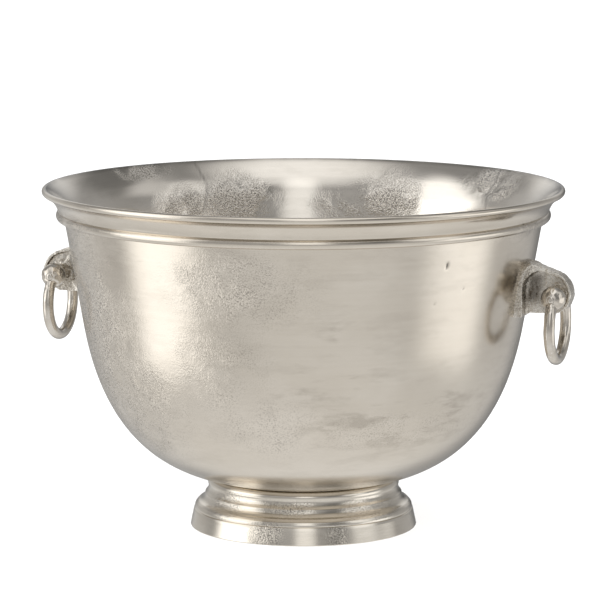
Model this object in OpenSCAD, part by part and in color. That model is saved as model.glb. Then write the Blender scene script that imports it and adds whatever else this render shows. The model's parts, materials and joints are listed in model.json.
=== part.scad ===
// Footed champagne bowl with two hinged ring handles.
// Origin: centre of the foot's rim on the table. +Z up, the handles lie on the X axis.

/* [Bowl] */
// Height of the rim's crest above the table
rim_h = 250; // [245:1:256]
// Largest radius, at the lip
rim_r = 190.5; // [188:0.5:193]
// Wall thickness, square to the surface
wall = 4; // [3.5:0.25:4.5]
// Lean of the straight upper wall, degrees from vertical
wall_lean = 9.9; // [9:0.1:11]
// Radius of the neck, where the bowl sits on its foot
neck_r = 66.3; // [64:0.1:68]
// Height of the neck
neck_h = 36.5; // [36:0.25:38]

/* [Foot] */
// Radius of the foot at the table
foot_r = 83; // [82:0.5:85]
// Height of the plain band at the bottom of the foot
band_h = 13; // [12:0.25:14]
// Wall thickness of the foot
foot_wall = 5; // [4:0.5:6]

/* [Handles] */
// Height of the hinge axes
hinge_h = 177.5; // [172:0.5:184]
// Distance of the hinge axes from the bowl's axis
hinge_x = 191; // [190:0.5:193]
// Radius of a ring's centreline
ring_r = 24.6; // [23.6:0.2:25.6]
// Thickness of a ring's bar
ring_d = 8.2; // [7:0.2:8.6]
// Radius of the ball at each end of a ring
ball_r = 9.2; // [8.6:0.1:9.6]
// Distance of a ball's centre from the middle of its lug
ball_y = 13; // [13:0.2:14]
// Radius of the hinge pins
pin_r = 2.5; // [2:0.1:3]
// Radial clearance of a pin in its lug
pin_gap = 0.05; // [0.02:0.01:0.1]

/* [Fasteners] */
// Radius of the lug screws' shanks
screw_r = 2; // [1.5:0.25:2.25]
// Radius of the foot screw's shank
foot_screw_r = 4; // [3:0.5:5]

/* [Hidden] */
$fn = 96;
eps = 0.01;

// Bowl levels, measured down from the crest, and radii, measured in from the lip
crease_z = rim_h - 23.5;        // undercut below the bead
crease_r = rim_r - 16.5;        // wall radius at the undercut
belly_z = rim_h - 100.3;        // the straight wall ends and the belly begins
lean = tan(wall_lean);
belly_r = crease_r - lean * (crease_z - belly_z);
belly_pull = 77;                // reach of the belly curve's upper handle
neck_pull = 44.7;               // reach of its lower handle
neck_dir = [5, 1] / norm([5, 1]);
wall_dir = [lean, 1] / norm([lean, 1]);
dish = 1 / (10 * neck_r);       // the round bottom: z = dish_z + dish * r^2
dish_z = neck_h - dish * neck_r * neck_r;

// Foot levels
web_z = 20;                     // underside of the flat pad at the middle of the foot's web
pad_r = 20.5;
boss_r = 13;                    // boss under the bowl that the foot screw enters
boss_z = web_z + 0.5;           // the boss ends inside the web, so that the washer clamps the foot
boss_hole_r = boss_r + 0.5;
foot_screw_grip = 6.5;          // thread of the foot screw in the boss
foot_head_h = 5;
washer_h = 2;
foot_washer_r = 18;

seat_gap = 0.1;                 // the flat washers stand off the curved wall at their middles

// Lug outline beside the hinge axis: u outward, v up, both from the axis
hood_c = [-5.5, 2];              // centre of the hood's round
hood_r = 16.5;                  // outside of the hood
hood_t = 2.2;                   // thickness of the hood
hood_y = 6.5;                   // half width of the hood at its nose
tail_angle = 70;                // the hood leaves its round here and runs straight to the wall
tail_v = 33.5;                  // height of that straight line at u = lug_root
lug_root = -45;                 // lug outlines start here, well inside the wall
root_v = [-14, 25];             // lower and upper edge of the root on the wall
root_y = 17.5;                  // half width of the root
root_corner = 13;
cavity_u = -21.8;               // the cavities beside the web end this far from the axis
cavity_v = [6, 18.6];           // their upper corner starts and ends at these heights
cavity_corner_u = -11.5;
web_y = 3;                      // half width of the web between the balls
web_root_y = 7.5;               // half width of the web where it meets the root
lug_bottom = -12.5;
screw_v = [14, -6];             // upper and lower lug screw
screw_depth = 12;               // screw thread in the lug, from the wall
head_r = 4.2;
head_h = 2.8;
seal_r = 5.2;
seal_h = 1.2;

// ---- curves -----------------------------------------------------------------

// Points on the arc from a to b whose middle stands sag to the right of the way a to b
function arc_points(a, b, sag, n) =
    let (chord = b - a, half = norm(chord) / 2,
         side = [chord[1], -chord[0]] / norm(chord),
         r = (half * half + sag * sag) / (2 * abs(sag)),
         c = (a + b) / 2 + side * (sag - sign(sag) * r),
         start = atan2(a[1] - c[1], a[0] - c[0]),
         turn = 2 * asin(half / r) * sign(sag))
    [for (i = [0:n]) c + r * [cos(start + turn * i / n), sin(start + turn * i / n)]];

// Cubic curve, and the same curve set off by t to its left
function cubic(p, s) =
    pow(1 - s, 3) * p[0] + 3 * s * pow(1 - s, 2) * p[1] + 3 * s * s * (1 - s) * p[2]
    + pow(s, 3) * p[3];
function cubic_dir(p, s) =
    let (d = pow(1 - s, 2) * (p[1] - p[0]) + 2 * s * (1 - s) * (p[2] - p[1]) + s * s * (p[3] - p[2]))
    d / norm(d);
function cubic_points(p, t, n) =
    [for (i = [0:n]) let (d = cubic_dir(p, i / n)) cubic(p, i / n) + t * [-d[1], d[0]]];

// Radius of the outside of the straight wall at height z
function wall_r(z) = crease_r - lean * (crease_z - z);
wall_across = wall / cos(wall_lean);

belly = [[neck_r, neck_h], [neck_r, neck_h] + neck_pull * neck_dir,
         [belly_r, belly_z] - belly_pull * wall_dir, [belly_r, belly_z]];

// Round bottom from the axis out to the neck, raised by lift
function dish_points(from_r, to_r, lift, n) =
    [for (i = [0:n]) let (r = from_r + (to_r - from_r) * i / n) [r, dish_z + lift + dish * r * r]];
function dish_at(r) = dish_z + dish * r * r;

// The bowl's round bottom and the foot's seat share these points
seat_steps = 8;
seat = dish_points(boss_hole_r, neck_r, 0, seat_steps);

bowl_outside = concat(
    [[0, boss_z], [boss_r, boss_z], [boss_r, dish_at(boss_r)]],
    [for (i = [0:seat_steps - 1]) seat[i]],
    cubic_points(belly, 0, 32),
    [[crease_r, crease_z]],
    arc_points([crease_r + 2.6, crease_z], [rim_r - 12.1, rim_h - 16.9], 2.6, 8),
    arc_points([rim_r - 11.7, rim_h - 16.4], [rim_r - 3.7, rim_h - 5.7], -1.4, 8),
    arc_points([rim_r - 2.6, rim_h - 4.9], [rim_r - 2.2, rim_h], 2.2, 8));

bowl_inside = concat(
    [[rim_r - 3.4, rim_h - 0.1]],
    arc_points([rim_r - 4.6, rim_h - 1.1], [crease_r - wall_across, crease_z], 1.6, 10),
    [for (i = [32:-1:0]) cubic_points(belly, wall, 32)[i]],
    [[0, dish_z + wall]]);

// ---- bowl and foot ----------------------------------------------------------

module bowl_shell() {
    color("silver") difference() {
        rotate_extrude() polygon(concat(bowl_outside, bowl_inside));
        translate([0, 0, boss_z - eps]) cylinder(r = foot_screw_r, h = foot_screw_grip + eps);
        at_each_lug() at_screws(screw_v) translate([0, 0, -2 * wall]) cylinder(r = screw_r, h = 4 * wall);
    }
}

foot_outside = concat(
    [[foot_r - 0.2, 0], [foot_r, 0.6], [foot_r - 2.5, band_h - 0.6], [foot_r - 3.3, band_h]],
    arc_points([foot_r - 3.1, band_h + 0.4], [foot_r - 5.1, band_h + 4.6], 0.6, 4),
    arc_points([foot_r - 5.7, band_h + 5.3], [foot_r - 10.8, band_h + 11.3], -1.2, 6),
    arc_points([foot_r - 11.2, band_h + 11.8], [foot_r - 13.2, band_h + 17.4], -0.7, 5),
    arc_points([foot_r - 13, band_h + 17.7], [neck_r + 0.9, neck_h - 0.2], 1.3, 6));

foot_inside = concat(
    [for (i = [seat_steps:-1:0]) seat[i]],
    [[boss_hole_r, web_z], [pad_r, web_z]],
    dish_points(pad_r + 1.5, neck_r - 8, -foot_wall, 6),
    arc_points([neck_r - 6, dish_at(neck_r - 8) - foot_wall - 0.6], [foot_r - 8, band_h], -2, 6),
    [[foot_r - 7.4, 3], [foot_r - 7.2, 0]]);

module foot() {
    color("silver") rotate_extrude() polygon(concat(foot_outside, foot_inside));
}

module foot_washer() {
    color("gray") translate([0, 0, web_z - washer_h]) difference() {
        cylinder(r = foot_washer_r, h = washer_h);
        translate([0, 0, -eps]) cylinder(r = foot_screw_r + 0.3, h = washer_h + 2 * eps);
    }
}

module foot_screw() {
    head_z = web_z - washer_h;
    color("gray") difference() {
        union() {
            translate([0, 0, head_z - eps]) cylinder(r = foot_screw_r, h = boss_z + foot_screw_grip - head_z);
            translate([0, 0, head_z - foot_head_h]) cylinder(r = foot_screw_r * 1.75, h = foot_head_h);
        }
        translate([0, 0, head_z - foot_head_h - eps]) cylinder(r = 3.6, h = 3, $fn = 6);
    }
}

// ---- handles: everything is drawn for the right side and turned for the left ----

module left_side() { rotate([0, 0, 180]) children(); }
module at_each_lug() { children(); left_side() children(); }

// Screws stand square to the wall, their own +Z pointing out of the bowl
module at_screws(heights) {
    for (v = heights)
        let (z = hinge_h + v)
            translate([wall_r(z), 0, z]) rotate([0, 90 + wall_lean, 0]) children();
}

module wall_cone(out) {
    low = hinge_h - 40;
    high = hinge_h + 40;
    translate([0, 0, low]) cylinder(r1 = wall_r(low) + out, r2 = wall_r(high) + out, h = high - low, $fn = 180);
}

module hinge_frame() { translate([hinge_x, 0, hinge_h]) rotate([90, 0, 0]) children(); }

function on_hood(r, angle) = hood_c + r * [cos(angle), sin(angle)];

module cavity_outline() {
    inner_r = hood_r - hood_t;
    translate(hood_c) circle(r = inner_r);
    polygon(concat([[cavity_u, lug_bottom - 20]],
                   arc_points([cavity_u, cavity_v[0]], [cavity_corner_u, cavity_v[1]], -3, 8),
                   [on_hood(inner_r, tail_angle), hood_c, [hood_c[0], lug_bottom - 20]]));
}

// Hood and root: a band round the nose that runs on to the wall, open at the bottom
module hood_outline() {
    difference() {
        union() {
            translate(hood_c) circle(r = hood_r);
            polygon([[lug_root, root_v[0]], [hood_c[0], root_v[0]], hood_c, on_hood(hood_r, tail_angle),
                     [lug_root, tail_v]]);
        }
        cavity_outline();
        polygon([hood_c, on_hood(60, -40), [60, -60], [cavity_u, -60], [cavity_u, hood_c[1]]]);
    }
}

module web_outline() {
    intersection() {
        union() {
            translate(hood_c) circle(r = hood_r - hood_t / 2);
            polygon([[lug_root, lug_bottom - 1], [hood_c[0], lug_bottom - 1], hood_c,
                     on_hood(hood_r - hood_t / 2, tail_angle), [lug_root, tail_v - hood_t / 2]]);
        }
        translate([lug_root, lug_bottom]) square([90, 60]);
    }
}

// Seen from above: tip wide at the nose, flaring out to root at the cavities' ends
module flared_plan(root, tip) {
    flare_u = -9;
    flare = flare_u - cavity_u;
    edge = concat([[30, tip]],
                  [for (i = [0:8]) [flare_u - flare * i / 8, tip + (root - tip) * pow(i / 8, 2)]],
                  [[lug_root, root]]);
    translate([hinge_x, 0, hinge_h - 60]) linear_extrude(120)
        polygon(concat(edge, [for (i = [len(edge) - 1:-1:0]) [edge[i][0], -edge[i][1]]]));
}

module across(half) {
    hinge_frame() translate([0, 0, -half]) linear_extrude(2 * half) children();
}

// The lug seen from outside the bowl, with a rounded top
module arch(half, low, high, corner) {
    for (side = [-1, 1]) translate([side * (half - corner), high - corner]) circle(r = corner);
    translate([-half, low]) square([2 * half, high - corner - low]);
    translate([corner - half, low]) square([2 * (half - corner), high - low]);
}

module lug_right() {
    color("lightgray") difference() {
        union() {
            intersection() {
                across(web_root_y) web_outline();
                flared_plan(web_root_y, web_y);
            }
            intersection() {
                across(root_y) hood_outline();
                flared_plan(root_y, hood_y);
                translate([hinge_x + lug_root, 0, hinge_h]) rotate([0, 90, 0]) rotate([0, 0, 90])
                    linear_extrude(90) arch(root_y, root_v[0] - 10, root_v[1], root_corner);
            }
        }
        wall_cone(0);
        hinge_frame() cylinder(r = pin_r + pin_gap, h = 60, center = true);
        at_screws(screw_v) translate([0, 0, -wall]) cylinder(r = screw_r, h = screw_depth + wall);
    }
}
module lug_left() { left_side() lug_right(); }

ring_drop = sqrt(ring_r * ring_r - ball_y * ball_y);
ring_gap = asin(ball_y / ring_r);       // half the angle of the ring's open top
pin_half = ball_y + ball_r - 0.4;

module ring_right() {
    color("silver") difference() {
        union() {
            translate([hinge_x, 0, hinge_h - ring_drop]) rotate([0, 90, 0])
                rotate([0, 0, 180 + ring_gap]) rotate_extrude(angle = 360 - 2 * ring_gap)
                    translate([ring_r, 0]) circle(d = ring_d, $fn = 48);
            for (y = [-ball_y, ball_y]) translate([hinge_x, y, hinge_h]) sphere(r = ball_r);
        }
        hinge_frame() cylinder(r = pin_r, h = 60, center = true);
    }
}
module ring_left() { left_side() ring_right(); }

module hinge_pin_right() {
    dome = 0.5;
    color("silver") hinge_frame() {
        cylinder(r = pin_r, h = 2 * pin_half, center = true);
        for (side = [0, 180]) rotate([side, 0, 0]) translate([0, 0, pin_half - eps])
            cylinder(r1 = pin_r, r2 = pin_r - dome, h = dome);
    }
}
module hinge_pin_left() { left_side() hinge_pin_right(); }

// ---- fasteners --------------------------------------------------------------

module lug_screw(v) {
    under_head = wall + seat_gap + seal_h;
    color("gray") at_screws([v]) difference() {
        union() {
            translate([0, 0, -under_head]) cylinder(r = screw_r, h = under_head + screw_depth - 1);
            translate([0, 0, -under_head - head_h]) cylinder(r = head_r, h = head_h);
        }
        translate([0, 0, -under_head - head_h - eps]) cylinder(r = 1.6, h = 1.6, $fn = 6);
    }
}

module seal_washer(v) {
    color("dimgray") at_screws([v]) translate([0, 0, -wall - seat_gap - seal_h]) difference() {
        cylinder(r = seal_r, h = seal_h);
        translate([0, 0, -eps]) cylinder(r = screw_r, h = seal_h + 2 * eps);
    }
}

module lug_screw_right_upper() { lug_screw(screw_v[0]); }
module lug_screw_right_lower() { lug_screw(screw_v[1]); }
module lug_screw_left_upper() { left_side() lug_screw(screw_v[0]); }
module lug_screw_left_lower() { left_side() lug_screw(screw_v[1]); }
module seal_washer_right_upper() { seal_washer(screw_v[0]); }
module seal_washer_right_lower() { seal_washer(screw_v[1]); }
module seal_washer_left_upper() { left_side() seal_washer(screw_v[0]); }
module seal_washer_left_lower() { left_side() seal_washer(screw_v[1]); }

bowl_shell();
foot();
foot_screw();
foot_washer();
lug_left();
lug_right();
ring_left();
ring_right();
hinge_pin_left();
hinge_pin_right();
lug_screw_left_upper();
lug_screw_left_lower();
lug_screw_right_upper();
lug_screw_right_lower();
seal_washer_left_upper();
seal_washer_left_lower();
seal_washer_right_upper();
seal_washer_right_lower();
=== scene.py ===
"""Looks of the silver champagne bucket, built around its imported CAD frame, in metres."""

import json
import math

import bpy
import numpy as np
from mathutils import Matrix, Vector, noise


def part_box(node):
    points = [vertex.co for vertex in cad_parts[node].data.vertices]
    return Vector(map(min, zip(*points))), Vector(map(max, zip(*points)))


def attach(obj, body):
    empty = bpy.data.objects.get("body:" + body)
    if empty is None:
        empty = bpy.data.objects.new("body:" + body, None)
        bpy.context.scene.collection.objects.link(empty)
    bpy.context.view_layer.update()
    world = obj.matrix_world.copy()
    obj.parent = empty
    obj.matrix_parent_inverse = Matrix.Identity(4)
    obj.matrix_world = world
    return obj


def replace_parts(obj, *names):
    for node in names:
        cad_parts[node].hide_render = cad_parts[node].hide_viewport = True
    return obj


MM = 0.001
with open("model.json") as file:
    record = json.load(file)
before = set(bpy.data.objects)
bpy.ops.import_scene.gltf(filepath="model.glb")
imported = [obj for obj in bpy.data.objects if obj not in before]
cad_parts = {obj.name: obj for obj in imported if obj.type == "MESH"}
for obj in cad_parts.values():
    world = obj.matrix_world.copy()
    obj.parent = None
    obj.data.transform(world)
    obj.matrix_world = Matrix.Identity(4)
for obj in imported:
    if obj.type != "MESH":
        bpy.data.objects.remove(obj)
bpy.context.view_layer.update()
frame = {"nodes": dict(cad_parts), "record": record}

# ---- camera: above the rim, looking down a little, the right handle turned towards it ----------
VIEW_TURN = math.radians(18)      # azimuth of the camera from the object's front
VIEW_PITCH = math.radians(8.45)   # looking down
VIEW_RANGE = 2.585
VIEW_HEIGHT = 0.550
VIEW_LENS = 214.5                 # millimetres, on a sensor 36 wide
VIEW_SHIFT = -0.0058


def add_camera():
    data = bpy.data.cameras.new("camera")
    data.lens = VIEW_LENS
    data.sensor_width = 36
    data.shift_x = VIEW_SHIFT
    data.clip_start, data.clip_end = 0.05, 50
    cam = bpy.data.objects.new("camera", data)
    cam.location = (VIEW_RANGE * math.sin(VIEW_TURN), -VIEW_RANGE * math.cos(VIEW_TURN), VIEW_HEIGHT)
    cam.rotation_euler = (math.pi / 2 - VIEW_PITCH, 0, VIEW_TURN)
    bpy.context.collection.objects.link(cam)
    bpy.context.scene.camera = cam


add_camera()

# ---- curves ------------------------------------------------------------------------------------


def arc(a, b, sag, n):
    """Points of the arc from a to b, whose middle stands sag to the right of the way."""
    a, b = np.array(a, float), np.array(b, float)
    chord = b - a
    half = np.linalg.norm(chord) / 2
    side = np.array([chord[1], -chord[0]]) / (2 * half)
    radius = (half * half + sag * sag) / (2 * abs(sag))
    centre = (a + b) / 2 + side * (sag - math.copysign(radius, sag))
    start = math.atan2(a[1] - centre[1], a[0] - centre[0])
    turn = 2 * math.asin(half / radius) * math.copysign(1, sag)
    return [centre + radius * np.array([math.cos(start + turn * i / n), math.sin(start + turn * i / n)])
            for i in range(n + 1)]


def cubic(p, offset, n):
    """Points of a cubic curve, set off to its left."""
    p = [np.array(q, float) for q in p]
    points = []
    for i in range(n + 1):
        s = i / n
        at = (1 - s) ** 3 * p[0] + 3 * s * (1 - s) ** 2 * p[1] + 3 * s * s * (1 - s) * p[2] + s ** 3 * p[3]
        d = (1 - s) ** 2 * (p[1] - p[0]) + 2 * s * (1 - s) * (p[2] - p[1]) + s * s * (p[3] - p[2])
        d = d / np.linalg.norm(d)
        points.append(at + offset * np.array([-d[1], d[0]]))
    return points


def spaced(points, step):
    """The same outline with extra points, so that no edge is longer than step."""
    out = [np.array(points[0], float)]
    for q in points[1:]:
        q = np.array(q, float)
        length = np.linalg.norm(q - out[-1])
        if length < 1e-6:
            continue
        parts = max(1, math.ceil(length / step))
        start = out[-1]
        out += [start + (q - start) * k / parts for k in range(1, parts + 1)]
    return out


def eased(points, height, reach, times):
    """The same evenly spaced outline with its bend at a height worn round."""
    points = np.array(points)
    near = np.abs(points[1:-1, 1:] - height) < reach
    for _ in range(times):
        points[1:-1] = np.where(near, (points[:-2] + 2 * points[1:-1] + points[2:]) / 4, points[1:-1])
    return list(points)


# ---- meshes ------------------------------------------------------------------------------------


def mesh_object(name, verts, faces, sharp=35):
    mesh = bpy.data.meshes.new(name)
    mesh.from_pydata([tuple(v) for v in verts], [], faces)
    mesh.validate()
    mesh.shade_smooth()
    mesh.set_sharp_from_angle(angle=math.radians(sharp))
    obj = bpy.data.objects.new(name, mesh)
    bpy.context.collection.objects.link(obj)
    return obj


def lathe(name, outline, steps, closed=False, sharp=35):
    """Turns an outline of (radius, height) about Z. Ends on the axis close to a point."""
    verts, rings = [], []
    for r, z in outline:
        if r < 1e-7:
            rings.append([len(verts)] * steps)
            verts.append((0, 0, z))
            continue
        rings.append(list(range(len(verts), len(verts) + steps)))
        verts += [(r * math.cos(2 * math.pi * k / steps), r * math.sin(2 * math.pi * k / steps), z)
                  for k in range(steps)]
    pairs = list(zip(rings, rings[1:]))
    if closed:
        pairs.append((rings[-1], rings[0]))
    faces = []
    for low, high in pairs:
        for k in range(steps):
            n = (k + 1) % steps
            faces.append(list(dict.fromkeys([low[k], low[n], high[n], high[k]])))
    return mesh_object(name, verts, faces, sharp)


def coordinates(obj):
    co = np.empty(len(obj.data.vertices) * 3, np.float32)
    obj.data.vertices.foreach_get("co", co)
    return co.reshape(-1, 3).astype(float)


def normals(obj):
    no = np.empty(len(obj.data.vertices) * 3, np.float32)
    obj.data.vertices.foreach_get("normal", no)
    return no.reshape(-1, 3).astype(float)


def set_coordinates(obj, co):
    obj.data.vertices.foreach_set("co", co.astype(np.float32).ravel())
    obj.data.update()


def paint(obj, name, values):
    """Stores one number per vertex, which the material reads by name."""
    layer = obj.data.attributes.new(name, "FLOAT", "POINT")
    layer.data.foreach_set("value", np.asarray(values, np.float32))


def noise_at(points, scale, seed=0.0, octaves=3):
    """Smooth noise of about -1 to 1 at each point; scale is waves per metre along each axis."""
    s = np.broadcast_to(np.array(scale, float), (3,))
    q = points * s + seed
    return np.array([noise.fractal(Vector(v), 0.8, 2.1, octaves) for v in q])


def ramp(x, low, high):
    t = np.clip((x - low) / (high - low), 0, 1)
    return t * t * (3 - 2 * t)


def turn_from_view(co):
    """Angle of each point round Z, in degrees from the camera's side, growing to its right."""
    c, s = math.cos(VIEW_TURN), math.sin(VIEW_TURN)
    return np.degrees(np.arctan2(co[:, 0] * c + co[:, 1] * s, co[:, 0] * s - co[:, 1] * c))


def turned_from(co, at):
    """Degrees round Z from a given turn to each point, -180 to 180."""
    return (turn_from_view(co) - at + 180) % 360 - 180


def from_spot(co, at, height, half_turn, half_height):
    """Squared distance from the middle of an oval spot on the wall, 1 at its edge."""
    return (turned_from(co, at) / half_turn) ** 2 + ((co[:, 2] / MM - height) / half_height) ** 2


def patches(co, spots, ragged, seed):
    """Soft spots with ragged edges: each is turn, height, half turn, half height and strength."""
    total = np.zeros(len(co))
    for *spot, strength in spots:
        total = np.maximum(total, strength * np.exp(-from_spot(co, *spot) ** 1.5))
    edge = noise_at(co, 60, seed, 4)
    return np.clip(total * (1.15 + ragged * edge), 0, 1)


def veins(co, lines, width):
    """Thin lines through points of turn and height, strongest in the middle of their width."""
    reach = 180 * MM              # radius at which a turn is measured along the wall
    total = np.zeros(len(co))
    for line in lines:
        for (t0, z0), (t1, z1) in zip(line, line[1:]):
            across = np.radians(turned_from(co, t0)) * reach
            up = co[:, 2] - z0 * MM
            run = np.array([math.radians(t1 - t0) * reach, (z1 - z0) * MM])
            along = np.clip((across * run[0] + up * run[1]) / (run @ run), 0, 1)
            far = np.hypot(across - along * run[0], up - along * run[1])
            total = np.maximum(total, 1 - far / width)
    return total


# ---- materials ---------------------------------------------------------------------------------
SMEAR_COLOR = (0.20, 0.17, 0.13, 1)
HOLE_COLOR = (0.12, 0.105, 0.09, 1)
# dark pits and cracks, and the painted shade along the lip's crest
STAIN_AND_SHADE_COLOR = (0.03, 0.028, 0.025, 1)
RAW_COLOR = (0.16, 0.14, 0.12, 1)
# painted shade in the lugs' hollows
HOLLOW_SHADE_COLOR = (0.09, 0.075, 0.06, 1)


class Graph:
    """Short names for building the nodes of one material or of the world."""

    def __init__(self, owner, place):
        owner.use_nodes = True
        self.tree = owner.node_tree
        self.place = self.add("ShaderNodeTexCoord").outputs[place]

    def add(self, kind, links=(), **settings):
        node = self.tree.nodes.new(kind)
        for key, value in settings.items():
            setattr(node, key, value)
        for socket, value in dict(links).items():
            if isinstance(value, bpy.types.NodeSocket):
                self.tree.links.new(value, node.inputs[socket])
            else:
                node.inputs[socket].default_value = value
        return node

    def math(self, operation, a, b=0.0, clamp=False):
        return self.add("ShaderNodeMath", {0: a, 1: b}, operation=operation, use_clamp=clamp).outputs[0]

    def scaled(self, scale):
        return self.add("ShaderNodeVectorMath", {0: self.place, 1: scale}, operation="MULTIPLY").outputs[0]

    def noise(self, scale, detail=3.0, rough=0.55, place=None):
        where = self.scaled(scale) if place is None else place
        return self.add("ShaderNodeTexNoise", {"Vector": where, "Scale": 1.0, "Detail": detail,
                                               "Roughness": rough}).outputs["Fac"]

    def map(self, value, from_low, from_high, to_low, to_high):
        return self.add("ShaderNodeMapRange", {0: value, 1: from_low, 2: from_high, 3: to_low, 4: to_high},
                        interpolation_type="SMOOTHSTEP").outputs[0]

    def painted(self, name):
        return self.add("ShaderNodeAttribute", attribute_name=name).outputs["Fac"]

    def spread(self, noise, to_low, to_high):
        """Noise brought to a range; nearly all of it lies between 0.3 and 0.7."""
        return self.map(noise, 0.3, 0.7, to_low, to_high)

    def mix(self, amount, a, b):
        return self.add("ShaderNodeMix", {0: amount, 6: a, 7: b}, data_type="RGBA").outputs[2]

    def turned(self, radius_share, lines):
        """Noise in fine rings round the Z axis, as a lathe leaves them."""
        level = self.scaled((1, 1, 0))
        radius = self.add("ShaderNodeVectorMath", {0: level}, operation="LENGTH").outputs["Value"]
        height = self.add("ShaderNodeSeparateXYZ", {0: self.place}).outputs["Z"]
        along = self.math("ADD", height, self.math("MULTIPLY", radius, radius_share))
        drift = self.add("ShaderNodeSeparateXYZ", {0: self.scaled((9, 9, 9))}).outputs
        place = {0: drift[0], 1: drift[1], 2: self.math("MULTIPLY", along, lines)}
        return self.noise(None, 2.0, 0.6, self.add("ShaderNodeCombineXYZ", place).outputs[0])

    def bump(self, height, distance, strength=1.0, under=None):
        links = {"Height": height, "Distance": distance, "Strength": strength}
        if under is not None:
            links["Normal"] = under
        return self.add("ShaderNodeBump", links).outputs["Normal"]

    def dot(self, vector, axis):
        node = self.add("ShaderNodeVectorMath", {0: vector, 1: axis}, operation="DOT_PRODUCT")
        return node.outputs["Value"]


class Surface(Graph):
    """The nodes of one material, round its own shader."""

    def __init__(self, name, metallic=1.0):
        self.material = bpy.data.materials.new(name)
        super().__init__(self.material, "Object")
        self.shader = self.tree.nodes["Principled BSDF"]
        self.shader.inputs["Metallic"].default_value = metallic

    def finish(self, color, roughness, normal):
        self.tree.links.new(color, self.shader.inputs["Base Color"])
        self.tree.links.new(roughness, self.shader.inputs["Roughness"])
        self.tree.links.new(normal, self.shader.inputs["Normal"])
        return self.material


def turned_metal(name, dark, light, gloss, matt, radius_share, grit):
    """Nickel-finished cast metal: faint lathe rings, fine grain, and grit, smears, stained pits and cracks,
    and painted shade, as painted.
    """
    g = Surface(name)
    pits = g.painted("pitted")
    stain_and_shade = g.painted("stain_and_shade")
    rings = g.turned(radius_share, 1100)
    bands = g.turned(radius_share, 260)
    cloud = g.noise((11, 11, 16), 4.0)
    grain = g.noise((900, 900, 900), 2.0, 0.7)
    speckle = g.noise((950, 950, 950), 1.5, 0.85)
    coarse = g.noise((420, 420, 420), 1.0, 0.6)
    streaks = g.map(g.noise((26, 26, 95), 4.0, 0.65), 0.47, 0.68, 0.0, 1.0)
    smear = g.math("MULTIPLY", streaks, g.math("ADD", g.math("MULTIPLY", g.painted("smeared"), 0.26), 0.08))
    holes = g.map(speckle, 0.37, 0.50, 1.0, 0.0)
    tone = g.math("ADD", g.spread(cloud, 0.0, 0.85), g.spread(bands, 0.0, 0.15))
    color = g.mix(tone, dark, light)
    color = g.mix(smear, color, SMEAR_COLOR)
    color = g.mix(g.math("MULTIPLY", g.math("MULTIPLY", holes, pits), 0.85), color, HOLE_COLOR)
    # dark pits and cracks, and the painted shade along the lip's crest
    color = g.mix(stain_and_shade, color, STAIN_AND_SHADE_COLOR)
    rough = g.spread(cloud, gloss, matt)
    rough = g.math("ADD", rough, g.spread(rings, -0.01, 0.01))
    rough = g.math("SUBTRACT", rough, g.math("MULTIPLY", pits, 0.11), clamp=True)
    normal = g.bump(rings, 0.000006)
    normal = g.bump(grain, 0.000016, 1.0, normal)
    height = g.math("ADD", speckle, g.math("MULTIPLY", coarse, 0.25))
    normal = g.bump(g.math("MULTIPLY", height, pits), grit, 1.0, normal)
    return g.finish(color, rough, normal)


def cast_metal(name, dark, light, gloss, matt, depth):
    """Unturned cast metal, lumpy, bright on its edges, with a raw skin and painted shade in its hollows, as
    painted.
    """
    g = Surface(name)
    raw = g.painted("raw")
    hollow_shade = g.painted("hollow_shade")
    cloud = g.noise((60, 60, 60), 4.0)
    lumps = g.noise((520, 520, 520), 3.0, 0.6)
    grain = g.noise((900, 900, 900), 2.0, 0.8)
    edge = g.map(g.add("ShaderNodeNewGeometry").outputs["Pointiness"], 0.49, 0.55, 0.0, 1.0)
    tone = g.math("ADD", g.spread(cloud, 0.0, 0.6), g.math("MULTIPLY", edge, 0.5), clamp=True)
    color = g.mix(tone, dark, light)
    color = g.mix(g.math("MULTIPLY", raw, g.map(grain, 0.38, 0.52, 0.6, 0.0)), color, RAW_COLOR)
    # painted shade in the hollows
    color = g.mix(g.math("MULTIPLY", hollow_shade, 0.8), color, HOLLOW_SHADE_COLOR)
    rough = g.spread(lumps, matt, gloss)
    rough = g.math("SUBTRACT", rough, g.math("MULTIPLY", edge, 0.08), clamp=True)
    normal = g.bump(g.math("MULTIPLY", grain, g.math("ADD", raw, 0.2)), depth)
    normal = g.bump(lumps, depth, 1.0, normal)
    return g.finish(color, rough, normal)


def flat_rubber(name):
    g = Surface(name, 0.0)
    speckle = g.noise((900, 900, 900), 3.0)
    color = g.mix(speckle, (0.02, 0.02, 0.02, 1), (0.06, 0.06, 0.055, 1))
    return g.finish(color, g.spread(speckle, 0.55, 0.75), g.bump(speckle, 0.00005))


#                      name, dark, light, gloss, matt, share of radius in the lathe rings, depth of grit
OUTSIDE = turned_metal("bowl_outside", (0.64, 0.585, 0.505, 1), (0.73, 0.675, 0.595, 1),
                       0.17, 0.23, 1.0, 0.00095)
INSIDE = turned_metal("bowl_inside", (0.62, 0.58, 0.52, 1), (0.71, 0.67, 0.61, 1),
                      0.08, 0.14, 1.0, 0.00080)
FOOT = turned_metal("foot_nickel", (0.60, 0.55, 0.47, 1), (0.76, 0.71, 0.63, 1),
                    0.10, 0.17, -0.9, 0.00055)
#                 name, dark, light, gloss, matt, depth of the lumps
LUG = cast_metal("lug_cast", (0.52, 0.48, 0.42, 1), (0.90, 0.86, 0.79, 1), 0.20, 0.34, 0.00050)
RING = cast_metal("ring_nickel", (0.55, 0.50, 0.43, 1), (0.76, 0.72, 0.66, 1), 0.15, 0.25, 0.00008)
STEEL = cast_metal("steel_turned", (0.45, 0.45, 0.45, 1), (0.68, 0.68, 0.67, 1), 0.25, 0.38, 0.00003)
RUBBER = flat_rubber("seal_rubber")

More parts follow.
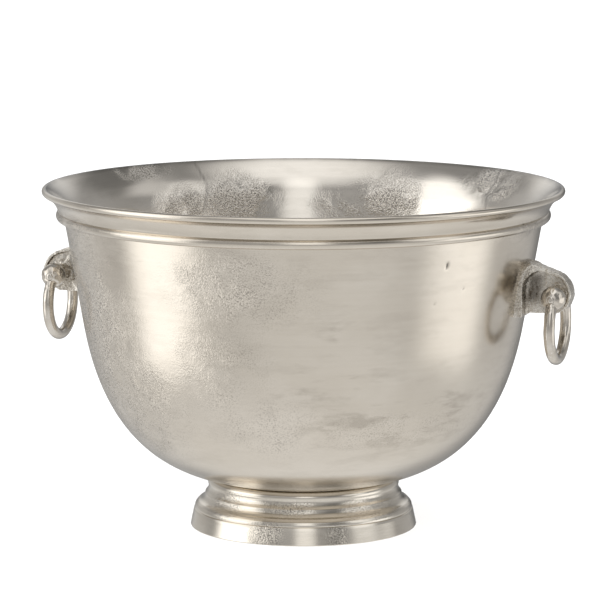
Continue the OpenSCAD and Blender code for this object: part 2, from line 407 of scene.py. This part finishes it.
# ---- bowl --------------------------------------------------------------------------------------
RIM_H = 250 * MM
RIM_R = 190.5 * MM
WALL = 4 * MM
WALL_LEAN = math.radians(9.9)
LEAN = math.tan(WALL_LEAN)        # the wall leans out by this much for each unit up
NECK = (66.3 * MM, 36.5 * MM)
CREASE = (RIM_R - 16.5 * MM, RIM_H - 23.5 * MM)
BELLY_Z = RIM_H - 100.3 * MM
BELLY_R = CREASE[0] - LEAN * (CREASE[1] - BELLY_Z)
NECK_PULL = 44.7 * MM
BELLY_PULL = 77 * MM
WALL_ACROSS = WALL * math.hypot(1, LEAN)
DISH = 1 / (10 * NECK[0])
DISH_Z = NECK[1] - DISH * NECK[0] ** 2
FINE = 1.5 * MM                   # longest edge of an outline
HINGE_H = 177.5 * MM


def wall_radius(z):
    return CREASE[0] - LEAN * (CREASE[1] - z)


def belly(offset, n):
    along = np.array([5, 1]) / math.hypot(5, 1)
    up = np.array([LEAN, 1]) / math.hypot(LEAN, 1)
    top = np.array([BELLY_R, BELLY_Z])
    neck = np.array(NECK)
    return cubic([neck, neck + NECK_PULL * along, top - BELLY_PULL * up, top], offset, n)


def dish_point(radius, lift=0.0):
    """On the domed seat between bowl and foot."""
    return (radius, DISH_Z + lift + DISH * radius * radius)


def from_rim(inward, down):
    return (RIM_R - inward * MM, RIM_H - down * MM)


def bowl_outline():
    """The bowl's section: the outside from under the neck to the crest, the inside down to the middle."""
    start = NECK[0] - 9 * MM
    seat = [dish_point(start + (NECK[0] - start) * i / 6) for i in range(6)]
    bead = arc((CREASE[0] + 2.6 * MM, CREASE[1]), from_rim(12.1, 16.9), 2.6 * MM, 12)
    cove = arc(from_rim(11.7, 16.4), from_rim(3.7, 5.7), -1.4 * MM, 12)
    lip = arc(from_rim(2.6, 4.9), from_rim(2.2, 0), 2.2 * MM, 14)
    outside = seat + belly(0, 90) + [CREASE] + bead + cove + lip
    flare = arc(from_rim(4.6, 1.1), (CREASE[0] - WALL_ACROSS, CREASE[1]), 1.6 * MM, 20)
    inside = [from_rim(3.4, 0.15)] + flare + belly(WALL, 90)[::-1]
    edge_r, edge_z = inside[-1]
    bottom = [edge_r * (1 - i / 40) for i in range(1, 41)]
    inside += [(r, DISH_Z + WALL + (edge_z - DISH_Z - WALL) * (r / edge_r) ** 2) for r in bottom]
    return spaced(outside, FINE), eased(spaced(inside, FINE), CREASE[1], 9 * MM, 14)


# spots on the wall: turn, height, half turn, half height, strength
OUTER_GRIT = ((-78, 150, 24, 70, 1.0), (-86, 212, 18, 26, 1.0), (-52, 105, 16, 40, 0.5),
              (-16, 196, 17, 24, 0.42), (-22, 140, 12, 34, 0.28), (-9, 96, 16, 22, 0.32),
              (24, 92, 34, 16, 0.2), (128, 165, 22, 45, 0.7), (170, 120, 26, 40, 0.6),
              (-140, 190, 24, 26, 0.6), (78, 120, 12, 30, 0.2), (64, 228, 12, 7, 0.4),
              (-74, 228, 20, 10, 0.6))
INNER_GRIT = ((157, 224, 8, 15, 1.0), (169, 216, 8, 12, 0.4), (-162, 222, 9, 16, 0.9),
              (-147, 220, 8, 12, 0.5), (-137, 246, 8, 5, 1.0), (125, 240, 9, 10, 1.0),
              (40, 150, 25, 40, 0.7), (-40, 110, 30, 30, 0.5), (100, 90, 25, 22, 0.5),
              (-105, 170, 16, 26, 0.5))
OUTER_SMEARS = ((28, 100, 27, 20, 1.0), (7, 128, 15, 13, 0.7), (10, 165, 8, 9, 0.5),
                (-30, 215, 20, 8, 0.4), (150, 90, 40, 25, 0.8))
SMALL_PITS = ((35.4, 210.3, 0.35, 2.1, 1.0), (41.5, 193, 0.3, 0.9, 0.35), (33, 184, 0.3, 0.6, 0.25),
              (60, 233, 0.4, 0.6, 0.4), (-140, 120, 0.4, 1.0, 0.8))
# cracks on the inside: turn and height of each point along them
INNER_CRACKS = (((-153, 249), (-153.5, 242), (-154.5, 233), (-153.5, 222), (-152.5, 211)),
                ((126.5, 249), (125.5, 240), (126, 232), (125.5, 218)),
                ((131, 236), (126, 231), (120.5, 238)))
CRACK_WIDTH = 1.5 * MM
CRACK_DARKNESS = 0.42
# painted shade along the crest of the lip: how far in from the rim, how wide, how far down, and how dark
CREST_IN, CREST_WIDTH, CREST_DEEP = 3.6 * MM, 1.7 * MM, 2.5 * MM
CREST_SHADE_DARKNESS = 0.5
# depths in millimetres, and how near a lug's middle they fade out: beside it and above it
LEAST_DENT, MORE_DENT, PIT_DEPTH = 0.03, 0.22, 0.5
BESIDE_LUG = (20 * MM, 32 * MM)
ABOVE_LUG = (26 * MM, 38 * MM)
BOWL_STEPS = 720


def stains_and_shade(co, outer, pits):
    """Dark pits outside, cracks inside, and painted shade along the crest of the lip, most along its inner
    edge.
    """
    cracks = CRACK_DARKNESS * np.where(outer, 0, np.clip(veins(co, INNER_CRACKS, CRACK_WIDTH), 0, 1))
    from_crest = np.hypot(co[:, 0], co[:, 1]) - (RIM_R - CREST_IN)
    crest = np.exp(-(from_crest / CREST_WIDTH) ** 2) * (co[:, 2] > RIM_H - CREST_DEEP)
    # painted shade along the lip's crest, broken up by noise
    crest_shade = CREST_SHADE_DARKNESS * crest * np.clip(0.85 + 0.6 * noise_at(co, 30, seed=12.0), 0, 1)
    return np.maximum(np.maximum(pits, cracks), crest_shade)


def dents(co, pits):
    """How far hand finishing and pits push each point inward. The seats of foot and lugs stay true."""
    waves = 0.5 + 0.5 * noise_at(co, 13, seed=2.0, octaves=2)
    uneven = waves * ramp(co[:, 2], NECK[1] + 8 * MM, NECK[1] + 40 * MM)
    off_lugs = np.maximum(ramp(np.abs(co[:, 1]), *BESIDE_LUG), ramp(np.abs(co[:, 2] - HINGE_H), *ABOVE_LUG))
    inward = (LEAST_DENT + MORE_DENT * np.clip(uneven, 0, 1) + PIT_DEPTH * pits) * off_lugs * MM
    return inward * (co[:, 2] > NECK[1] + 2 * MM)


def build_bowl():
    """Outer and inner wall as one skin: grit, smears, dark pits and cracks, painted shade on the lip's
    crest, and slight dents are laid on its points.
    """
    outside, inside = bowl_outline()
    bowl = lathe("bowl_shell_skin", outside + inside, BOWL_STEPS, sharp=30)
    co = coordinates(bowl)
    outer = np.arange(len(co)) < len(outside) * BOWL_STEPS
    grit = np.where(outer, patches(co, OUTER_GRIT, ragged=1.1, seed=4.0),
                    patches(co, INNER_GRIT, ragged=1.3, seed=9.0))
    pits = np.zeros(len(co))
    for *spot, strength in SMALL_PITS:
        pits = np.maximum(pits, strength * outer * np.clip(1.3 - from_spot(co, *spot), 0, 1))
    paint(bowl, "pitted", grit)
    paint(bowl, "smeared", outer * patches(co, OUTER_SMEARS, ragged=1.3, seed=6.0))
    paint(bowl, "stain_and_shade", stains_and_shade(co, outer, pits))
    level = co[:, :2] / np.maximum(np.linalg.norm(co[:, :2], axis=1), 1e-6)[:, None]
    co[:, :2] -= level * dents(co, pits)[:, None]
    set_coordinates(bowl, co)
    bowl.data.materials.append(OUTSIDE)
    bowl.data.materials.append(INSIDE)
    index = np.zeros(len(bowl.data.polygons), np.int32)
    index[(len(outside) - 1) * BOWL_STEPS:] = 1
    bowl.data.polygons.foreach_set("material_index", index)
    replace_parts(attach(bowl, "bucket"), "bowl_shell")


# ---- foot --------------------------------------------------------------------------------------
FOOT_R = 83 * MM
BAND_H = 13 * MM
FOOT_WALL = 5 * MM
WEB_Z = 20 * MM
PAD_R = 20.5 * MM
BOSS_HOLE_R = 13.5 * MM


def on_foot(inward, above_band):
    return (FOOT_R - inward * MM, BAND_H + above_band * MM)


def foot_outline():
    band = [(FOOT_R - 1.0 * MM, 0), (FOOT_R - 0.3 * MM, 0.15 * MM), (FOOT_R, 0.7 * MM),
            on_foot(2.4, -0.9), on_foot(2.7, -0.3), on_foot(3.3, 0)]
    step = arc(on_foot(3.1, 0.4), on_foot(5.1, 4.6), 0.6 * MM, 8)
    cove = arc(on_foot(5.7, 5.3), on_foot(10.8, 11.3), -1.2 * MM, 12)
    bead = arc(on_foot(11.2, 11.8), on_foot(13.2, 17.4), -0.7 * MM, 10)
    torus = arc(on_foot(13, 17.7), (NECK[0] + 0.9 * MM, NECK[1] - 0.2 * MM), 1.3 * MM, 12)
    seat = [dish_point(NECK[0] + (BOSS_HOLE_R - NECK[0]) * i / 12) for i in range(13)]
    shelf = [(BOSS_HOLE_R, WEB_Z), (PAD_R - 0.6 * MM, WEB_Z), (PAD_R, WEB_Z + 0.5 * MM)]
    web_start, web_r = PAD_R + 1.5 * MM, NECK[0] - 8 * MM
    web = [dish_point(web_start + (web_r - web_start) * i / 8, -FOOT_WALL) for i in range(9)]
    hollow = arc((web_r + 2 * MM, web[-1][1] - 0.6 * MM), (FOOT_R - 8 * MM, BAND_H), -2 * MM, 10)
    rim = [(FOOT_R - 7.4 * MM, 3 * MM), (FOOT_R - 7.2 * MM, 0.6 * MM), (FOOT_R - 6.8 * MM, 0.1 * MM),
           (FOOT_R - 6.2 * MM, 0)]
    return spaced(band + step + cove + bead + torus + seat + shelf + web + hollow + rim, FINE)


# spots on the foot, as on the wall
FOOT_GRIT = ((-20, 8, 8, 9, 0.9), (17, 6, 5, 8, 0.7), (-50, 24, 14, 9, 0.6), (-8, 25, 16, 5, 0.5),
             (42, 22, 20, 8, 0.4), (100, 12, 25, 10, 0.6), (-120, 18, 25, 12, 0.6), (170, 8, 20, 9, 0.7))


def build_foot():
    foot = lathe("foot_skin", foot_outline(), 360, closed=True)
    co = coordinates(foot)
    paint(foot, "pitted", patches(co, FOOT_GRIT, ragged=1.2, seed=7.0))
    paint(foot, "stain_and_shade", np.zeros(len(co)))
    foot.data.materials.append(FOOT)
    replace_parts(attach(foot, "bucket"), "foot")


# ---- handles -----------------------------------------------------------------------------------
BRAZE = 0.35 * MM                 # how far the lug's back is pushed into the wall


def swell(obj, lift, node_name):
    """Move each point out along its normal by its lift, nowhere beyond the box of the CAD node."""
    low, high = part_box(node_name)
    co = coordinates(obj) + normals(obj) * lift[:, None]
    set_coordinates(obj, np.clip(co, tuple(low), tuple(high)))


def reworked(node_name, name, voxel, smoothing, wobble, wobble_scale, seed):
    """A copy of a CAD node with its edges worn round and its faces slightly uneven, as cast."""
    obj = bpy.data.objects.new(name, frame["nodes"][node_name].data.copy())
    bpy.context.collection.objects.link(obj)
    weld = obj.modifiers.new("weld", "WELD")
    weld.merge_threshold = 0.01 * MM
    remesh = obj.modifiers.new("remesh", "REMESH")
    remesh.mode = "VOXEL"
    remesh.voxel_size = voxel
    smooth = obj.modifiers.new("smooth", "SMOOTH")
    smooth.factor, smooth.iterations = 0.5, smoothing
    graph = bpy.context.evaluated_depsgraph_get()
    mesh = bpy.data.meshes.new_from_object(obj.evaluated_get(graph))
    obj.modifiers.clear()
    obj.data = mesh
    mesh.materials.clear()
    mesh.shade_smooth()
    swell(obj, wobble * (noise_at(coordinates(obj), wobble_scale, seed, 2) - 0.3), node_name)
    return obj


def build_lug(side, seed):
    """Raw cast skin near the wall, and painted shade in the hollow under the hood just above the hinge."""
    lug = reworked("lug_" + side, "lug_" + side + "_cast", voxel=0.5 * MM, smoothing=4,
                   wobble=0.34 * MM, wobble_scale=300, seed=seed)
    co = coordinates(lug)
    from_wall = (np.abs(co[:, 0]) - wall_radius(co[:, 2])) * math.cos(WALL_LEAN) / MM
    lift = (co[:, 2] - HINGE_H) / MM
    across = np.abs(co[:, 1]) / MM
    paint(lug, "raw", np.clip(1 - ramp(from_wall, 4.5, 7.5) + 0.35 * noise_at(co, 90, seed, 3), 0.15, 1))
    # painted shade in the hollow beside the root, under the hood
    hollow_shade = ramp(from_wall, 2.5, 6.5) * (1 - ramp(from_wall, 9, 17))
    paint(lug, "hollow_shade", hollow_shade * ramp(lift, -9, 1) * (1 - ramp(lift, 12, 19)) * (1 - ramp(across, 8, 14)))
    # the root is brazed on: its back reaches the wall all round
    back = 1 - ramp(from_wall, 0.3, 1.2)
    co[:, 0] -= np.sign(co[:, 0]) * back * BRAZE
    set_coordinates(lug, co)
    lug.data.materials.append(LUG)
    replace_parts(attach(lug, "bucket"), "lug_" + side)


def build_ring(side, seed):
    """A ring whose two ball ends are more uneven than its bar."""
    ring = reworked("ring_" + side, "ring_" + side + "_cast", voxel=0.4 * MM, smoothing=4,
                    wobble=0.14 * MM, wobble_scale=110, seed=seed)
    co = coordinates(ring)
    ball = 1 - ramp(np.abs(co[:, 2] - HINGE_H), 7 * MM, 11 * MM)
    swell(ring, ball * 0.30 * MM * (noise_at(co, 240, seed, 2) - 0.35), "ring_" + side)
    ring.data.materials.append(RING)
    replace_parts(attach(ring, "handle_" + side), "ring_" + side)


# ---- turned fasteners --------------------------------------------------------------------------
PIN_R = 2.5 * MM
SCREW_R = 2 * MM
HEAD_R = 4.2 * MM
HEAD_H = 2.8 * MM
SEAL_R = 5.2 * MM
SEAL_H = 1.2 * MM
SEAT_GAP = 0.1 * MM
SCREW_LENGTH = 16.3 * MM          # under the head
SCREW_V = {"upper": 14 * MM, "lower": -6 * MM}
LUG_SOCKET = (1.6 * MM, 1.6 * MM)  # radius and depth
FOOT_SOCKET = (3.6 * MM, 3 * MM)
FOOT_SCREW_R = 4 * MM
FOOT_WASHER_HOLE_R = 4.3 * MM


def placed(obj, matrix):
    set_coordinates(obj, np.array([matrix @ Vector(v) for v in coordinates(obj)]))
    return obj


def socket_screw(name, shank_r, shank_len, head_r, head_h, socket, matrix):
    """A domed screw head below the origin with a hexagon socket, its shank standing up along +Z."""
    steps = 48
    socket_r, socket_d = socket
    sixth = math.pi / 3
    dome = arc((head_r * 0.55, -head_h), (head_r, -0.35 * head_h), 0.14 * head_r, 8)

    def ring(radius, z, hexagon):
        out = []
        for k in range(steps):
            a = 2 * math.pi * k / steps
            flat = math.cos(sixth / 2) / math.cos(a % sixth - sixth / 2)
            r = radius * (flat if hexagon else 1)
            out.append((r * math.cos(a), r * math.sin(a), z))
        return out

    rings = [ring(socket_r * 0.5, socket_d - head_h, True), ring(socket_r, socket_d - head_h, True),
             ring(socket_r, 0.1 * head_h - head_h, True), ring(socket_r * 1.12, -head_h, True)]
    rings += [ring(r, z, False) for r, z in dome]
    rings += [ring(head_r, -0.06 * head_h, False), ring(head_r * 0.97, 0, False), ring(shank_r, 0, False),
              ring(shank_r, shank_len - 0.5 * MM, False), ring(shank_r * 0.75, shank_len, False)]
    verts = [v for one in rings for v in one] + [(0, 0, socket_d - head_h), (0, 0, shank_len)]
    last = (len(rings) - 1) * steps
    faces = [(low + k, low + (k + 1) % steps, low + steps + (k + 1) % steps, low + steps + k)
             for low in range(0, last, steps) for k in range(steps)]
    faces += [((k + 1) % steps, k, len(verts) - 2) for k in range(steps)]
    faces += [(last + k, last + (k + 1) % steps, len(verts) - 1) for k in range(steps)]
    return placed(mesh_object(name, verts, faces), matrix)


def washer(name, inner, outer, height, matrix):
    """A flat washer standing on the origin, with rounded rims."""
    e = 0.22 * height
    outline = [(inner, e), (inner + e, 0), (outer - e, 0), (outer - 0.3 * e, 0.3 * e), (outer, e),
               (outer, height - e), (outer - 0.3 * e, height - 0.3 * e), (outer - e, height),
               (inner + e, height), (inner, height - e)]
    return placed(lathe(name, outline, 72, closed=True), matrix)


def screw_seat(side, height):
    """Frame under a lug screw's head inside the bowl, its +Z square to the wall and out of the bowl."""
    joint = next(j for j in frame["record"]["behaviour"]["joints"] if j["child"] == "handle_" + side)
    z = joint["pos_m"][2] + SCREW_V[height]
    turn = Matrix.Rotation(0 if side == "right" else math.pi, 4, "Z")
    lean = Matrix.Rotation(math.pi / 2 + WALL_LEAN, 4, "Y")
    on_wall = turn @ Matrix.Translation((wall_radius(z), 0, z)) @ lean
    return on_wall @ Matrix.Translation((0, 0, -WALL - SEAT_GAP - SEAL_H))


def build_fasteners():
    for side in ("left", "right"):
        for height in ("upper", "lower"):
            key = side + "_" + height
            seat = screw_seat(side, height)
            seal = washer("seal_washer_" + key + "_turned", SCREW_R, SEAL_R, SEAL_H, seat)
            seal.data.materials.append(RUBBER)
            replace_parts(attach(seal, "bucket"), "seal_washer_" + key)
            screw = socket_screw("lug_screw_" + key + "_turned", SCREW_R, SCREW_LENGTH, HEAD_R, HEAD_H,
                                 LUG_SOCKET, seat)
            screw.data.materials.append(STEEL)
            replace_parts(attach(screw, "bucket"), "lug_screw_" + key)
    low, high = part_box("foot_washer")
    seat = Matrix.Translation((0, 0, low.z))
    plate = washer("foot_washer_turned", FOOT_WASHER_HOLE_R, high.x, high.z - low.z, seat)
    plate.data.materials.append(STEEL)
    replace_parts(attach(plate, "bucket"), "foot_washer")
    head_low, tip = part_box("foot_screw")
    screw = socket_screw("foot_screw_turned", FOOT_SCREW_R, tip.z - low.z, tip.x, low.z - head_low.z,
                         FOOT_SOCKET, seat)
    screw.data.materials.append(STEEL)
    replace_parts(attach(screw, "bucket"), "foot_screw")


def build_pin(side):
    """The hinge pin with its ends hammered to low domes."""
    low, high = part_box("hinge_pin_" + side)
    centre, half = (low + high) / 2, (high.y - low.y) / 2
    dome = arc((PIN_R, half - 0.55 * MM), (0, half), 0.35 * MM, 8)
    outline = [(r, -z) for r, z in dome[::-1]] + dome
    lay = Matrix.Translation(centre) @ Matrix.Rotation(math.pi / 2, 4, "X")
    pin = placed(lathe("hinge_pin_" + side + "_peened", outline, 64), lay)
    pin.data.materials.append(RING)
    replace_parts(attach(pin, "handle_" + side), "hinge_pin_" + side)


build_bowl()
build_foot()
for number, side in enumerate(("left", "right")):
    build_lug(side, 3.0 + 11 * number)
    build_ring(side, 5.0 + 7 * number)
    build_pin(side)
build_fasteners()

# ---- studio ------------------------------------------------------------------------------------
# soft boxes of the room: turn, half width, lowest and highest height, strength (below 0 darkens)
SOFT_BOXES = ((-76, 27, -0.62, 0.3, 1.15), (-78, 32, -0.05, 0.9, 1.35), (84, 27, -0.55, 0.15, 0.95),
              (66, 19, 0.0, 0.85, 0.8), (92, 22, 0.3, 0.85, 0.4), (2, 14, 0.0, 0.95, 0.85),
              (-25, 26, 0.1, 0.8, 0.12), (36, 14, 0.0, 0.75, -0.16), (140, 40, 0.3, 0.9, -0.12),
              (180, 38, 0.1, 0.7, 0.5), (176, 34, -0.9, 0.2, -0.34), (-150, 45, -0.6, 0.5, 0.15),
              (10, 60, -0.75, -0.05, 0.12))
FLOOR_HALF = 30.0                 # metres


def add_floor():
    corners = [(FLOOR_HALF * x, FLOOR_HALF * y, 0) for x, y in ((-1, -1), (1, -1), (1, 1), (-1, 1))]
    floor = mesh_object("floor", corners, [(0, 1, 2, 3)])
    g = Surface("floor_paper", 0.0)
    grain = g.noise((40, 40, 40), 2.0)
    color = g.mix(grain, (0.88, 0.88, 0.88, 1), (0.91, 0.91, 0.91, 1))
    floor.data.materials.append(g.finish(color, g.spread(grain, 0.7, 0.8), g.bump(grain, 0.0001)))
    floor.visible_glossy = False


def add_overhead_light():
    """Even light from above for the paper floor; the metal shows the room instead."""
    data = bpy.data.lights.new("overhead", "SUN")
    data.energy = 2.6
    data.angle = math.radians(40)
    data.use_shadow = False
    lamp = bpy.data.objects.new("overhead", data)
    lamp.location = (0, 0, 3)
    lamp.visible_glossy = False
    bpy.context.collection.objects.link(lamp)


def studio_axis(turn):
    """Level direction turned clockwise from the camera's side, in degrees."""
    a = math.radians(turn) + VIEW_TURN
    return (math.sin(a), -math.cos(a), 0)


def add_world():
    """A pale room seen by direction: soft boxes to both sides, in front and behind, darker between."""
    world = bpy.data.worlds.new("studio")
    g = Graph(world, "Generated")
    height = g.add("ShaderNodeSeparateXYZ", {0: g.place}).outputs["Z"]
    level = g.add("ShaderNodeVectorMath", {0: g.scaled((1, 1, 0))}, operation="NORMALIZE").outputs[0]
    away_from_pole = g.math("MULTIPLY", g.map(height, -0.95, -0.6, 0, 1), g.map(height, 0.6, 0.95, 1, 0))
    total = g.add("ShaderNodeMapRange", {0: height, 1: -0.85, 2: 0.05, 3: 0.90, 4: 0.42}).outputs[0]
    total = g.math("SUBTRACT", total, g.map(height, 0.1, 0.75, 0.0, 0.10))
    across, toward, _ = studio_axis(0)
    above = g.dot(g.place, (0.31 * across, 0.31 * toward, 0.95))
    total = g.math("ADD", total, g.map(above, 0.78, 1.0, 0.0, 0.95))
    for turn, half, low, high, strength in SOFT_BOXES:
        across = g.map(g.dot(level, studio_axis(turn)), math.cos(math.radians(half)), 1.0, 0.0, 1.0)
        up = g.math("MULTIPLY", g.map(height, low, low + 0.25, 0, 1), g.map(height, high - 0.2, high, 1, 0))
        part = g.math("MULTIPLY", g.math("MULTIPLY", across, up), away_from_pole)
        total = g.math("ADD", total, g.math("MULTIPLY", part, strength))
    g.tree.links.new(total, g.tree.nodes["Background"].inputs["Strength"])
    g.tree.nodes["Background"].inputs["Color"].default_value = (1, 1, 1, 1)
    bpy.context.scene.world = world


add_floor()
add_world()
add_overhead_light()
bpy.context.scene.view_settings.view_transform = "Standard"
